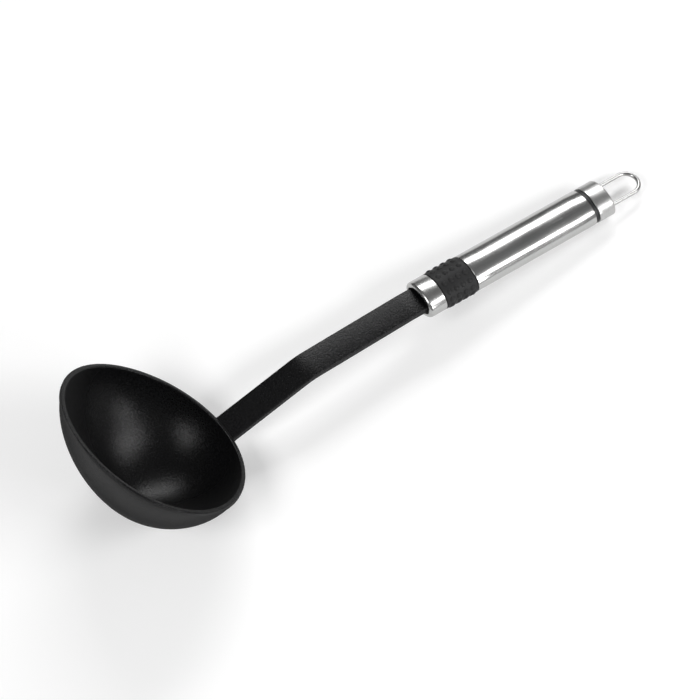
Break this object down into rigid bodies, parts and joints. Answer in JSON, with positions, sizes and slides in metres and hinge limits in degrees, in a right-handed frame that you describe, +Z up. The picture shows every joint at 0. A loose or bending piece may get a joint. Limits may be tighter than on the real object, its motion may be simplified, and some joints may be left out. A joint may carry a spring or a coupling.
{
  "type": "soup ladle",
  "caption": "Soup ladle lying flat: deep round nylon bowl, flat bent shank, oval steel handle with a nubbed rubber grip and a wire hanging loop.",
  "frame": {"origin": "middle of the bounding box, at the level of the table that the ladle lies on", "axes": "+X along the ladle from the bowl to the hanging loop, +Z up from the table, +Y to complete a right-handed set; the ladle is mirror-symmetric about the XZ plane"},
  "size_m": [0.3206, 0.0952, 0.0763],
  "materials": {
    "nylon": "matte",
    "grip_rubber": "matte",
    "plastic": "satin",
    "polished_steel": "polished",
    "brushed_steel": "satin"
  },
  "bodies": {
    "root": {"bowl_and_shank": "nylon", "front_ferrule": "polished_steel", "front_plug": "plastic", "lock_pin": "polished_steel", "grip_sleeve": "grip_rubber", "handle_tube": "brushed_steel", "spacer_ring": "plastic", "end_cap": "brushed_steel", "end_plug": "plastic", "hanging_loop": "polished_steel"}
  },
  "joints": []
}
